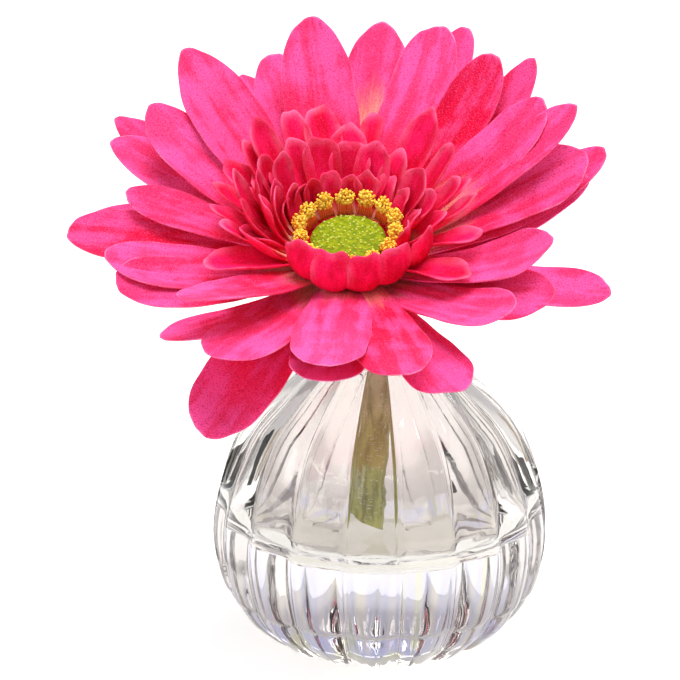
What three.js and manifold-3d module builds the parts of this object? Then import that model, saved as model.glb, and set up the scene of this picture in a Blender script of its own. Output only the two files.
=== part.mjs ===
// A single artificial gerbera standing in a small fluted bud vase of clear pressed glass.
// Units are millimetres, +Z is up and the origin is the centre of the vase's flat foot.
// The vase's axis is Z, and -Y is the side that the flower's face leans towards.

import * as THREE from 'three';
import { mergeVertices } from 'three/addons/utils/BufferGeometryUtils.js';
import Module from 'manifold-3d';

const wasm = await Module();
wasm.setup();

// ---------------------------------------------------------------------------------------------
// Driving dimensions

const CLEARANCE = 0.3;

// Vase: half section of the outside, over the crests of the flutes, and of the hollow.
const FLUTES = 18;
const FLUTE_DEPTH = 1.6;
const FLUTE_START = 6.5;          // degrees from the front to the first groove on the right
const SEGMENTS_PER_FLUTE = 4;
const FOOT_RADIUS = 26.3;
const RIM_HEIGHT = 66.2;
const FLOOR_HEIGHT = 20;
const OUTSIDE = [
  [28.8, 2], [32.9, 6], [36.1, 12], [37.9, 19], [38.4, 26], [37.2, 34], [34.4, 43], [30.4, 51],
  [23.7, 58], [17.8, 63], [14.6, 65.3],
];
const RIM = [[13.8, RIM_HEIGHT - 0.2], [12.6, RIM_HEIGHT], [11.6, RIM_HEIGHT - 0.4]];
const HOLLOW = [
  [11.4, 64.8], [15.2, 61.8], [21.2, 57.2], [27.8, 50], [32, 42], [33.8, 34.5], [32.2, 28.5], [25.5, 24],
  [14, 20.8],
];
const OUTSIDE_STEPS = 10;
const HOLLOW_STEPS = 6;

// Stem: a plastic-covered wire whose top bends forward under the bloom.
const STEM_RADIUS = 2.3;
const STEM_SIDES = 10;
const STEM_STEPS = 18;
const STEM_ROUTE = [
  [-0.9, 0.8, FLOOR_HEIGHT + CLEARANCE], [-0.9, 0.8, 36], [-1.2, 0.4, 50], [-1.6, -0.4, 61], [-3.8, -2, 69.5],
];

// Bloom: its own frame has +Z along the bloom's axis, and its origin where the rays meet.
const BLOOM_CENTRE = new THREE.Vector3(-8, -9, 91);
const BLOOM_TILT = 21;            // degrees forward from upright
const BLOOM_LEAN = -2;            // degrees to the side
const CALYX_BASE = -13;           // along the bloom's axis, like every height of the bloom
const CALYX_TOP = -2.9;
const CALYX_SECTION = [[2.8, CALYX_BASE], [3.4, -10], [6.4, -6.5], [8.5, -3.9], [8.1, CALYX_TOP]];
const PEG_RADIUS = 1.5;
const HUB_HOLE = 1.9;
const HUB_THICKNESS = 1;
const HUB_PITCH = HUB_THICKNESS + CLEARANCE;
const HUB_RADIUS = 5.4;
const HUB_SIDES = 24;
const PETAL_THICKNESS = 0.7;
const PETAL_SHOULDER = 0.66;      // share of its length where a petal is widest
const PETAL_ROOT_WIDTH = 0.26;    // share of that width at the root

// Large petals: azimuth, root lift, tip lift, length, width, sweep, roll and cup.
// Azimuth 0 is to the right and 90 is to the back; lift is the angle above the bloom's plane.
const UPPER_RAYS = [
  [98, 16, 49, 57, 17, 0, 0, 15],
  [63, 16, 42, 58, 16, 3, 0, 15],
  [44, 14, 56, 55, 13, 0, 10, 15],
  [24, 15, 48, 53, 14, 0, 20, 15],
  [17, 16, 44, 58, 12, 0, 10, 10],
  [8, 15, 24, 54, 16, 4, 25, 15],
  [330, 8, 42, 54, 13, 0, 20, 20],
  [283, 13, 16, 58, 16.5, 0, 0, -10],
  [266, 15, 22, 56, 17, 0, 0, -10],
  [232, 18, 35, 56, 11, 0, 0, 20],
  [173, 15, 18, 47, 11, -5, -10, 15],
  [151, 15, 34, 53, 14, -5, -15, 15],
  [131, 16, 48, 58, 17, 0, -5, 12],
];
const MIDDLE_RAYS = [
  [80, 11, 49, 58, 15, 0, 0, 12],
  [36, 12, 52, 60, 12, 0, 10, 15],
  [322, 12, 20, 55, 14, 0, 20, 10],
  [310, 8, 30, 55, 14, 0, 10, 20],
  [294, 4, 10, 56, 14.5, 0, 0, -10],
  [242, 8, 26, 55, 17, 0, 0, 10],
  [209, 12, 26, 54, 14, 0, -25, 10],
  [203, 12, 30, 55, 14, 0, -20, 10],
  [178, 12, 6, 58, 14, 0, -25, 10],
  [152, 12, 22, 57, 13, 0, -15, 10],
  [107, 12, 30, 56, 15, 0, 0, 10],
];
const LOWER_RAYS = [
  [63, 8, 40, 65, 12, 0, 0, 10],
  [14, 6, 32, 60, 13, 0, 20, 15],
  [11, 4, 28, 54, 13, 0, 20, 10],
  [339, 8, 7, 58, 12, 0, 20, 10],
  [265, -1, 28, 53, 17, 0, 0, 10],
  [239, 6, -16, 56, 17, 0, -20, 10],
  [228, 8, 26, 56, 8, 0, 0, 10],
  [168, 4, 11, 54, 14, 0, -20, 10],
  [144, 6, 23, 62, 12, 0, -10, 10],
  [112, 7, 17, 60, 12, 0, 0, 10],
];

// Short petals stand round the stamens in three rings, with the same eight values.
const OUTER_RING = [
  [113, 36, 40, 26, 7, 0, 0, 30],
  [100, 36, 42, 26, 9, 0, 0, 30],
  [87, 36, 42, 21, 9, 0, 0, 30],
  [77, 36, 31, 25, 6, 0, 0, 30],
  [48, 36, 56, 28, 9, 0, 0, 30],
  [28, 36, 51, 24, 7, 0, 0, 30],
  [5, 36, 54, 22, 6, 0, 0, 30],
  [350, 36, 46, 25, 5, 0, 0, 30],
  [338, 36, 15, 24, 6, 0, 0, 20],
  [319, 23, 12, 26, 8, 0, 0, 15],
  [213, 31, 8, 26, 10, 0, 0, 15],
  [204, 36, 51, 24, 6, 0, 0, 30],
  [190, 36, 47, 24, 6, 0, 0, 30],
  [172, 36, 45, 23, 7, 0, 0, 30],
  [154, 36, 40, 23, 9, 0, 0, 30],
  [143, 36, 53, 24, 6, 0, 0, 30],
  [133, 36, 58, 27, 8, 0, 0, 30],
];
const MIDDLE_RING = [
  [140, 50, 57, 17, 7, 0, 0, 30],
  [122, 50, 61, 20, 7, 0, 0, 30],
  [106, 50, 64, 18.5, 9.5, 0, 0, 30],
  [85, 50, 63, 17, 10, 0, 0, 30],
  [67, 50, 65, 17.5, 9, 0, 0, 30],
  [50, 50, 63, 17.5, 7, 0, 0, 30],
  [22, 50, 63, 17.5, 9, 0, 0, 30],
  [0, 50, 51, 17, 8, 0, 0, 30],
  [345, 40, 50, 17.5, 8, 0, 0, 30],
  [197, 50, 26, 17, 6, 0, 0, 30],
  [188, 50, 82, 18, 7, 0, 0, 30],
  [160, 50, 29, 17, 6, 0, 0, 30],
  [150, 50, 40, 17, 6, 0, 0, 30],
];
const INNER_RING = [
  [165, 60, 95, 10, 5.5, 0, 0, 20],
  [148, 60, 45, 9.5, 5.5, 0, 0, 20],
  [137, 60, 95, 10, 5.5, 0, 0, 20],
  [122, 60, 98, 10, 5.5, 0, 0, 20],
  [102, 60, 82, 9.5, 5.5, 0, 0, 20],
  [83, 60, 88, 9, 5.5, 0, 0, 20],
  [68, 60, 82, 10, 6, 0, 0, 20],
  [51, 60, 70, 10, 6, 0, 0, 20],
  [28, 60, 75, 10, 5.5, 0, 0, 20],
  [0, 60, 50, 9.5, 5.5, 0, 0, 20],
  [338, 52, 80, 10, 5.5, 0, 0, 20],
];

// Front cups bulge out, then stand up straight. Their ninth value is the share that curls.
const FRONT_CUPS = [
  [326, -5, 80, 19, 8.6, 0, 0, 30, 0.72],
  [303, -15, 91, 19, 9, 0, 0, 30, 0.72],
  [284, -20, 98, 19.5, 9, 0, 0, 30, 0.72],
  [262, -15, 98, 19.5, 9.8, 0, 0, 30, 0.72],
  [241, 8, 98, 19, 10, 0, 0, 30, 0.72],
];
const FRONT_ROOT = { radius: 12, height: 4.4 };
const CORE = { inner: 4.5, outer: 12.6, bottom: 1.3, top: 4.9, edge: 0.4 };
const RING_ROOTS = [
  { radius: 11.5, height: 4.2 }, { radius: 10.8, height: 4 }, { radius: 11.8, height: 4.6 },
];

// Centre: stamens round a seeded dome, both a little to the right of the bloom's axis.
const CENTRE_SHIFT = 0.8;
const STAMEN_TURN = 16;           // degrees from the right to the first stamen
const STAMENS = 14;
const STAMEN_BASE = { inner: 8.8, outer: 10.1, bottom: 5.2, top: 6, sides: 28 };
const STAMEN_STALK = { foot: 9.45, bottomRadius: 0.6, topRadius: 0.75, sides: 5 };
const STAMEN_HEAD = { radius: 1.8, ring: 10.8, height: 9.2, dip: 2.2 };    // the front heads hang lower
const DOME = { radius: 8.4, bottom: 5.2, rim: 5.7, top: 7.6, sides: 24 };
const DOME_ROWS = [1, 0.96, 0.84, 0.62, 0.35, 0];             // shares of its radius
const SEED_RADIUS = 0.5;
const SEED_LIFT = 0.1;
const SEED_ROWS = [[0, 1], [2.3, 6], [4.6, 12], [6.7, 18]];   // ring radius and how many seeds

// ---------------------------------------------------------------------------------------------
// Solids

const radians = THREE.MathUtils.degToRad;

/** A geometry with position and index only, whose shared vertices are one. */
function welded(geometry) {
  geometry.deleteAttribute('normal');
  geometry.deleteAttribute('uv');
  return mergeVertices(geometry, 1e-4);
}

/** The enclosed volume, which is negative where the faces point inwards. */
function signedVolume(geometry) {
  const p = geometry.attributes.position;
  const index = geometry.index.array;
  const [a, b, c] = [new THREE.Vector3(), new THREE.Vector3(), new THREE.Vector3()];
  let volume = 0;
  for (let i = 0; i < index.length; i += 3) {
    a.fromBufferAttribute(p, index[i]);
    b.fromBufferAttribute(p, index[i + 1]);
    c.fromBufferAttribute(p, index[i + 2]);
    volume += a.dot(b.cross(c)) / 6;
  }
  return volume;
}

/** Turns a closed geometry's faces outwards, without its needle-thin triangles. */
function outward(geometry) {
  const index = geometry.index.array;
  const kept = [];
  for (let i = 0; i < index.length; i += 3) {
    const [a, b, c] = [index[i], index[i + 1], index[i + 2]];
    if (a !== b && b !== c && c !== a) kept.push(a, b, c);
  }
  geometry.setIndex(kept);
  if (signedVolume(geometry) < 0) {
    for (let i = 0; i < kept.length; i += 3) [kept[i], kept[i + 1]] = [kept[i + 1], kept[i]];
    geometry.setIndex(kept);
  }
  return geometry;
}

/** A solid for joining and cutting. */
function solid(geometry) {
  const g = outward(welded(geometry));
  return new wasm.Manifold(new wasm.Mesh({
    numProp: 3,
    vertProperties: new Float32Array(g.attributes.position.array),
    triVerts: new Uint32Array(g.index.array),
  }));
}

/** The geometry of a joined solid's outer skin, without gaps sealed inside it or loose scraps. */
function geometryOf(manifold) {
  const whole = manifold.getMesh();
  const geometry = new THREE.BufferGeometry();
  const positions = new Float32Array(whole.vertProperties);
  geometry.setAttribute('position', new THREE.BufferAttribute(positions, 3));
  geometry.setIndex(new THREE.BufferAttribute(new Uint32Array(whole.triVerts), 1));
  return largestSkin(mergeVertices(geometry, 1e-5));
}

/** The connected faces that enclose the most. */
function largestSkin(geometry) {
  const index = geometry.index.array;
  const parent = Array.from({ length: geometry.attributes.position.count }, (_, i) => i);
  const leader = (i) => {
    while (parent[i] !== i) i = parent[i];
    return i;
  };
  for (let i = 0; i < index.length; i += 3) {
    parent[leader(index[i + 1])] = leader(index[i]);
    parent[leader(index[i + 2])] = leader(index[i]);
  }
  const skins = new Map();
  for (let i = 0; i < index.length; i += 3) {
    const key = leader(index[i]);
    if (!skins.has(key)) skins.set(key, []);
    skins.get(key).push(index[i], index[i + 1], index[i + 2]);
  }
  const candidates = [...skins.values()].map((faces) => geometry.clone().setIndex(faces));
  return candidates.sort((a, b) => signedVolume(b) - signedVolume(a))[0];
}

/** A turned body about Z from [radius, height] pairs. */
function turned(profile, sides) {
  const points = profile.map(([r, z]) => new THREE.Vector2(r, z));
  return new THREE.LatheGeometry(points, sides).rotateX(Math.PI / 2);
}

/** A flat ring about Z. */
function ring(inner, outer, bottom, top, sides) {
  return turned([[inner, bottom], [outer, bottom], [outer, top], [inner, top], [inner, bottom]], sides);
}

/** A named mesh in its own finish. */
function piece(name, geometry, color, roughness) {
  const material = new THREE.MeshStandardMaterial({ color, roughness, metalness: 0 });
  const mesh = new THREE.Mesh(outward(geometry), material);
  mesh.name = name;
  return mesh;
}

/** Points along a smooth half section through [radius, height] pairs. */
function smoothSection(pairs, steps) {
  const curve = new THREE.SplineCurve(pairs.map(([r, z]) => new THREE.Vector2(r, z)));
  return curve.getPoints(steps).map((p) => [p.x, p.y]);
}

// ---------------------------------------------------------------------------------------------
// Vase

/** Thick-walled glass with rounded flutes that meet in grooves from foot to rim. */
function vase() {
  const outside = [[0, 0], [FOOT_RADIUS, 0], ...smoothSection(OUTSIDE, OUTSIDE_STEPS)];
  const hollow = [...smoothSection(HOLLOW, HOLLOW_STEPS), [0, FLOOR_HEIGHT]];
  const profile = [...outside, ...RIM, ...hollow];
  const geometry = turned(profile, FLUTES * SEGMENTS_PER_FLUTE);
  const p = geometry.attributes.position;
  for (let i = 0; i < p.count; i++) {
    const row = i % profile.length;
    if (row === 0 || row >= outside.length) continue;
    const angle = Math.atan2(p.getY(i), p.getX(i));
    const share = (angle * FLUTES) / (2 * Math.PI);
    const fromCrest = share - Math.floor(share) - 0.5;
    const radius = Math.hypot(p.getX(i), p.getY(i));
    const depth = FLUTE_DEPTH * Math.min(1, radius / FOOT_RADIUS);
    const scale = 1 - (depth * (1 - Math.cos(Math.PI * fromCrest))) / radius;
    p.setXY(i, p.getX(i) * scale, p.getY(i) * scale);
  }
  geometry.rotateZ(radians(FLUTE_START - 90));
  return piece('vase', welded(geometry), 0xe9e8e4, 0.05);
}

// ---------------------------------------------------------------------------------------------
// Bloom

/** The placement of the bloom's frame in the part. */
function bloomFrame() {
  const axis = new THREE.Vector3(
    Math.sin(radians(BLOOM_LEAN)), -Math.sin(radians(BLOOM_TILT)), Math.cos(radians(BLOOM_TILT)),
  ).normalize();
  const right = new THREE.Vector3(1, 0, 0).addScaledVector(axis, -axis.x).normalize();
  const back = new THREE.Vector3().crossVectors(axis, right);
  return new THREE.Matrix4().makeBasis(right, back, axis).setPosition(BLOOM_CENTRE);
}

/** A share of the full width, from the root at 0 to the tip at 1. */
function petalWidth(s) {
  if (s < PETAL_SHOULDER) {
    const rise = Math.sin((Math.PI / 2) * (s / PETAL_SHOULDER)) ** 1.25;
    return PETAL_ROOT_WIDTH + (1 - PETAL_ROOT_WIDTH) * rise;
  }
  return Math.sqrt(Math.max(0, 1 - ((s - PETAL_SHOULDER) / (1 - PETAL_SHOULDER)) ** 2));
}

/** One petal as a thin solid that curls along a share `bow` of its length and is cupped across it. */
function petal([azimuth, rootLift, tipLift, length, width, sweep, roll, cup, bow = 1], root, shares) {
  const curl = radians(tipLift - rootLift) || 1e-4;
  const start = radians(rootLift);
  const cupAngle = radians(cup) || 1e-4;
  const top = [];
  const bottom = [];
  for (const s of shares) {
    const bent = Math.min(s, bow);
    const pitch = start + (curl * bent) / bow;
    const turnRadius = (length * bow) / curl;
    const straight = length * (s - bent);
    const out = turnRadius * (Math.sin(pitch) - Math.sin(start)) + straight * Math.cos(pitch);
    const up = turnRadius * (Math.cos(start) - Math.cos(pitch)) + straight * Math.sin(pitch);
    const bend = radians(sweep) * s;
    const base = radians(azimuth);
    const heading = base + 2 * bend;
    const along = new THREE.Vector3(Math.cos(base), Math.sin(base), 0);
    const across = new THREE.Vector3(-Math.sin(base), Math.cos(base), 0);
    const centre = along.clone().multiplyScalar(root.radius + out * Math.cos(bend))
      .addScaledVector(across, out * Math.sin(bend));
    centre.z = root.height + up;
    const flat = new THREE.Vector3(Math.cos(heading), Math.sin(heading), 0);
    const tangent = flat.clone().multiplyScalar(Math.cos(pitch)).setZ(Math.sin(pitch));
    const level = new THREE.Vector3(-Math.sin(heading), Math.cos(heading), 0);
    const normal = new THREE.Vector3().crossVectors(tangent, level);
    const turn = radians(roll) * s;
    const side = level.clone().multiplyScalar(Math.cos(turn)).addScaledVector(normal, Math.sin(turn));
    const face = normal.clone().multiplyScalar(Math.cos(turn)).addScaledVector(level, -Math.sin(turn));
    const half = (Math.max(petalWidth(s), TIP_WIDTH) * width) / 2;
    for (let j = 0; j <= PETAL_COLUMNS; j++) {
      const angle = cupAngle * ((2 * j) / PETAL_COLUMNS - 1);
      const point = centre.clone().addScaledVector(side, (half * Math.sin(angle)) / cupAngle)
        .addScaledVector(face, (half * (1 - Math.cos(angle))) / cupAngle);
      const outwards = face.clone().multiplyScalar(Math.cos(angle)).addScaledVector(side, -Math.sin(angle));
      top.push(point.clone().addScaledVector(outwards, PETAL_THICKNESS / 2));
      bottom.push(point.clone().addScaledVector(outwards, -PETAL_THICKNESS / 2));
    }
  }
  return sheetSolid(top, bottom, shares.length, PETAL_COLUMNS + 1);
}

/** A closed solid between two grids of points, split into triangles alike on both faces. */
function sheetSolid(top, bottom, rows, columns) {
  const points = [...top, ...bottom];
  const under = top.length;
  const at = (i, j) => i * columns + j;
  const index = [];
  const quad = (a, b, c, d) => index.push(a, b, c, a, c, d);
  for (let i = 0; i < rows - 1; i++) {
    for (let j = 0; j < columns - 1; j++) {
      const [a, b, c, d] = [at(i, j), at(i + 1, j), at(i + 1, j + 1), at(i, j + 1)];
      quad(a, b, c, d);
      index.push(under + a, under + c, under + b, under + a, under + d, under + c);
    }
    quad(at(i, 0), under + at(i, 0), under + at(i + 1, 0), at(i + 1, 0));
    const last = columns - 1;
    quad(at(i + 1, last), under + at(i + 1, last), under + at(i, last), at(i, last));
  }
  for (let j = 0; j < columns - 1; j++) {
    quad(at(0, j + 1), under + at(0, j + 1), under + at(0, j), at(0, j));
    const end = rows - 1;
    quad(at(end, j), under + at(end, j), under + at(end, j + 1), at(end, j + 1));
  }
  const geometry = new THREE.BufferGeometry();
  geometry.setAttribute('position', new THREE.Float32BufferAttribute(points.flatMap((p) => p.toArray()), 3));
  geometry.setIndex(index);
  return solid(geometry);
}

const RAY_SHARES = [0, 0.25, 0.5, 0.75, 0.93, 1];
const SHORT_SHARES = [0, 0.4, 0.78, 1];
const CUP_SHARES = [0, 0.2, 0.4, 0.6, 0.8, 1];
const PETAL_COLUMNS = 2;
const TIP_WIDTH = 0.35;

/** One die-cut layer of large petals with its pierced hub, `step` hubs above the lowest. */
function rayLayer(name, petals, step, color) {
  const bottom = CALYX_TOP + CLEARANCE + step * HUB_PITCH;
  const hub = ring(HUB_HOLE, HUB_RADIUS, bottom, bottom + HUB_THICKNESS, HUB_SIDES);
  const root = { radius: HUB_RADIUS - 1, height: bottom + HUB_THICKNESS / 2 };
  const joined = petals.reduce(
    (sum, values) => sum.add(petal(values, root, RAY_SHARES)), solid(hub),
  );
  return piece(name, geometryOf(joined), color, 0.75);
}

/** The three rings of short petals and the front cups, which stand out of one cone-shaped core. */
function shortPetals() {
  const { inner, outer, bottom, top, edge } = CORE;
  const core = turned([
    [HUB_HOLE, bottom], [inner, bottom], [outer, top - edge], [outer, top], [HUB_HOLE, top],
    [HUB_HOLE, bottom],
  ], HUB_SIDES);
  let joined = solid(core);
  [OUTER_RING, MIDDLE_RING, INNER_RING].forEach((petals, i) => {
    for (const values of petals) joined = joined.add(petal(values, RING_ROOTS[i], SHORT_SHARES));
  });
  for (const values of FRONT_CUPS) joined = joined.add(petal(values, FRONT_ROOT, CUP_SHARES));
  return piece('short_petals', geometryOf(joined), 0xe81050, 0.75);
}

/** Green cup under the petals, with the peg that the layers are threaded on. */
function calyx() {
  const pegTop = CORE.top - CLEARANCE;
  const profile = [
    [0, CALYX_BASE], ...CALYX_SECTION, [PEG_RADIUS, CALYX_TOP], [PEG_RADIUS, pegTop], [0, pegTop],
  ];
  return piece('calyx', welded(turned(profile, HUB_SIDES)), 0x6f8f35, 0.6);
}

/** A ring of yellow stamens, each a thin stalk with a knobbly head. */
function stamens() {
  const { inner, outer, bottom, top, sides } = STAMEN_BASE;
  const foot = new THREE.Vector3(STAMEN_STALK.foot, 0, (bottom + top) / 2);
  let joined = solid(ring(inner, outer, bottom, top, sides));
  for (let i = 0; i < STAMENS; i++) {
    const angle = radians(STAMEN_TURN) + (2 * Math.PI * i) / STAMENS;
    const dip = STAMEN_HEAD.dip * Math.max(0, -Math.sin(angle));
    const tip = new THREE.Vector3(STAMEN_HEAD.ring, 0, STAMEN_HEAD.height - dip);
    const lean = new THREE.Quaternion().setFromUnitVectors(
      new THREE.Vector3(0, 1, 0), tip.clone().sub(foot).normalize(),
    );
    const stalk = new THREE.CylinderGeometry(
      STAMEN_STALK.topRadius, STAMEN_STALK.bottomRadius, foot.distanceTo(tip), STAMEN_STALK.sides,
    );
    const middle = foot.clone().lerp(tip, 0.5);
    stalk.applyQuaternion(lean).translate(middle.x, 0, middle.z).rotateZ(angle);
    const head = new THREE.IcosahedronGeometry(STAMEN_HEAD.radius, 0);
    head.translate(tip.x, 0, tip.z).rotateZ(angle);
    joined = joined.add(solid(stalk)).add(solid(head));
  }
  return piece('stamens', geometryOf(joined).translate(CENTRE_SHIFT, 0, 0), 0xf2a81e, 0.7);
}

/** The green dome in the middle, with a seed at each place of its rings. */
function seedDome() {
  const { radius, bottom, rim, top, sides } = DOME;
  const height = (r) => rim + (top - rim) * Math.sqrt(1 - (r / radius) ** 2);
  const rows = DOME_ROWS.map((share) => [radius * share, height(radius * share)]);
  let joined = solid(turned([[0, bottom], [radius, bottom], ...rows], sides));
  for (const [r, count] of SEED_ROWS) {
    for (let i = 0; i < count; i++) {
      const seed = new THREE.OctahedronGeometry(SEED_RADIUS);
      seed.translate(r, 0, height(r) + SEED_LIFT).rotateZ((2 * Math.PI * i) / count);
      joined = joined.add(solid(seed));
    }
  }
  return piece('seed_dome', geometryOf(joined).translate(CENTRE_SHIFT, 0, 0), 0x9bb82a, 0.5);
}

/** The stem, from the vase's floor to just under the calyx, which it meets square. */
function stem(frame) {
  const route = STEM_ROUTE.map((p) => new THREE.Vector3(...p));
  for (const height of [CALYX_BASE - 2, CALYX_BASE - CLEARANCE]) {
    route.push(new THREE.Vector3(0, 0, height).applyMatrix4(frame));
  }
  const circle = new THREE.Shape().absarc(0, 0, STEM_RADIUS, 0, 2 * Math.PI);
  const geometry = new THREE.ExtrudeGeometry(circle, {
    steps: STEM_STEPS, curveSegments: STEM_SIDES / 2, bevelEnabled: false,
    extrudePath: new THREE.CatmullRomCurve3(route, false, 'centripetal'),
  });
  return piece('stem', welded(geometry), 0x9c9a4a, 0.6);
}

// ---------------------------------------------------------------------------------------------
// Assembly

const frame = bloomFrame();
const bloom = new THREE.Group();
bloom.applyMatrix4(frame);
bloom.add(
  calyx(),
  rayLayer('ray_petals_lower', LOWER_RAYS, 0, 0xd8124a),
  rayLayer('ray_petals_middle', MIDDLE_RAYS, 1, 0xe62463),
  rayLayer('ray_petals_upper', UPPER_RAYS, 2, 0xf04a8c),
  shortPetals(),
  stamens(),
  seedDome(),
);

const gerberaInVase = new THREE.Group();
gerberaInVase.add(vase(), stem(frame), bloom);

export default gerberaInVase;
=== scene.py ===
import math
import random

import bmesh
import bpy
from mathutils import Matrix, Vector


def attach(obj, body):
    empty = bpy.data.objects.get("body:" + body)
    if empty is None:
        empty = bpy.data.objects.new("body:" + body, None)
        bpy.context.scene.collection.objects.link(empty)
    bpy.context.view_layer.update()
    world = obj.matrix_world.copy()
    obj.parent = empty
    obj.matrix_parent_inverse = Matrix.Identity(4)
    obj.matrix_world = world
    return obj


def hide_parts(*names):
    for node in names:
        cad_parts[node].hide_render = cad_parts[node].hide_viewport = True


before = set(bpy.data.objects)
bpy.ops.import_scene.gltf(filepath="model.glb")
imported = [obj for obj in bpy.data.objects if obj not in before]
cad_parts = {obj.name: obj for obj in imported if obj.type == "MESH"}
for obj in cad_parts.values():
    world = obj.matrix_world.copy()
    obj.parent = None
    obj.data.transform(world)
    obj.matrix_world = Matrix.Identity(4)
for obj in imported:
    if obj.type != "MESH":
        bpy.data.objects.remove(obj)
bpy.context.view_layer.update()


# ---------------------------------------------------------------------------------------------
# Camera: the flower is seen from a little above the bloom, from a good distance, through a long
# lens. The flower's and the vase's sizes are in millimetres, and MM turns them into metres.

MM = 0.001
COLLECTION = bpy.context.scene.collection
CAMERA_TARGET = Vector((-9.2, 0, 69.3)) * MM
CAMERA_DISTANCE = 800 * MM
CAMERA_HEIGHT = math.radians(18)
CAMERA_LENS = 187
CAMERA_SENSOR = 36
CAMERA_NEAREST = 10 * MM

camera_data = bpy.data.cameras.new("camera")
camera_data.lens = CAMERA_LENS
camera_data.sensor_width = CAMERA_SENSOR
camera_data.clip_start = CAMERA_NEAREST
camera = bpy.data.objects.new("camera", camera_data)
COLLECTION.objects.link(camera)
camera.location = CAMERA_TARGET + CAMERA_DISTANCE * Vector(
    (0, -math.cos(CAMERA_HEIGHT), math.sin(CAMERA_HEIGHT)))
camera.rotation_euler = (math.radians(90) - CAMERA_HEIGHT, 0, 0)
bpy.context.scene.camera = camera
bpy.context.scene.view_settings.view_transform = "Standard"


# ---------------------------------------------------------------------------------------------
# Table: a matt white top, lit from below as for product photographs, so that it looks pure
# white. It is the first thing to need a material, a mesh and an object.

TABLE_SIZE = 6.0
TABLE_GLOW = 0.46


class Shade:
    """A socket in a material's node tree. Arithmetic on it adds Math nodes."""

    def __init__(self, tree, socket=None):
        self.tree = tree
        self.socket = socket

    def node(self, kind, settings, sockets, output=0):
        """Adds a node: its settings first, then a value or a link for each socket."""
        made = self.tree.nodes.new("ShaderNode" + kind)
        for name, value in settings.items():
            setattr(made, name, value)
        for name, value in sockets.items():
            if isinstance(value, Shade):
                self.tree.links.new(value.socket, made.inputs[name])
            else:
                made.inputs[name].default_value = value
        return Shade(self.tree, made.outputs[output] if len(made.outputs) else None)

    def math(self, operation, first, second):
        return self.node("Math", {"operation": operation}, {0: first, 1: second})

    def __add__(self, other):
        return self.math("ADD", self, other)

    def __sub__(self, other):
        return self.math("SUBTRACT", self, other)

    def __rsub__(self, other):
        return self.math("SUBTRACT", other, self)

    def __mul__(self, other):
        return self.math("MULTIPLY", self, other)

    __radd__ = __add__
    __rmul__ = __mul__

    def between(self, low, high):
        """0 at low and 1 at high, eased in and out."""
        return self.node("MapRange", {"interpolation_type": "SMOOTHSTEP"},
                         {"Value": self, "From Min": low, "From Max": high})

    def mixed(self, first, second):
        """Two colours, by this factor from the first to the second."""
        return self.node("Mix", {"data_type": "RGBA"}, {0: self, 6: first, 7: second}, 2)

    def noise(self, scale, detail):
        """Random values from 0 to 1, with this as the place."""
        return self.node("TexNoise", {}, {"Vector": self, "Scale": scale, "Detail": detail}, "Fac")

    def part(self, axis):
        """The X, Y or Z of this vector."""
        return self.node("SeparateXYZ", {}, {"Vector": self}, axis)

    def place(self):
        """The place on the piece, in metres."""
        return self.node("TexCoord", {}, {}, "Object")


def new_material(name):
    """A material with an empty tree, and the tree's first Shade."""
    material = bpy.data.materials.new(name)
    material.use_nodes = True
    material.node_tree.nodes.clear()
    return material, Shade(material.node_tree)


def finish_material(surface):
    """Ends the tree that this shader is in."""
    surface.node("OutputMaterial", {}, {"Surface": surface})


def new_piece(name, builder, material, smooth=True):
    """An object in the scene from a filled bmesh."""
    mesh = bpy.data.meshes.new(name)
    builder.to_mesh(mesh)
    builder.free()
    if smooth:
        mesh.shade_smooth()
    mesh.materials.append(material)
    made = bpy.data.objects.new(name, mesh)
    COLLECTION.objects.link(made)
    return made


def rgba(code):
    """A linear colour from a six-figure sRGB code."""
    parts = [int(code[i:i + 2], 16) / 255 for i in (0, 2, 4)]
    return (*(c / 12.92 if c <= 0.04045 else ((c + 0.055) / 1.055) ** 2.4 for c in parts), 1)


material, shade = new_material("white_table")
finish_material(shade.node("BsdfPrincipled", {}, {
    "Base Color": rgba("e2e1e0"), "Roughness": 0.9, "Specular IOR Level": 0.1,
    "Emission Color": (1, 1, 1, 1), "Emission Strength": TABLE_GLOW}))
builder = bmesh.new()
bmesh.ops.create_grid(builder, x_segments=1, y_segments=1, size=TABLE_SIZE / 2)
floor = new_piece("floor", builder, material, smooth=False)


# ---------------------------------------------------------------------------------------------
# Light: three soft boxes inside a white tent, whose wall is painted light. Black and tan cards
# stand behind the vase, beside the view, because clear glass gets its dark outlines from what it
# bends into sight.

SKY_LOW = (0.5, 0.5, 0.5, 1)
SKY_HIGH = (0.75, 0.75, 0.76, 1)
SKY_STRENGTH = 0.6
TENT_RADIUS = 2.4
TENT_HEIGHT = 1.4
TENT_FADE = 0.5                    # the height at which the wall has grown dim
TENT_LOW = (1, 0.98, 0.96, 1)
TENT_HIGH = (0.62, 0.61, 0.62, 1)
TENT_STRENGTH = 1.15
BLACK = "100e0c"
TAN = "a8967c"
# Azimuth from the back, distance, width, height and colour.
CARDS = ((-56, 60, 26, 40, BLACK), (56, 60, 26, 40, BLACK), (-58, 400, 46, 150, BLACK),
         (58, 400, 46, 150, BLACK), (-49, 410, 40, 120, TAN), (49, 410, 40, 120, TAN))

world = bpy.data.worlds.new("tent")
bpy.context.scene.world = world
world.use_nodes = True
world.node_tree.nodes.clear()
shade = Shade(world.node_tree)
climb = shade.node("TexCoord", {}, {}, "Generated").part("Z")
sky = climb.between(0.0, 0.5).mixed(SKY_LOW, SKY_HIGH)
tent = shade.node("Background", {}, {"Color": sky, "Strength": SKY_STRENGTH})
shade.node("OutputWorld", {}, {"Surface": tent})


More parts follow.
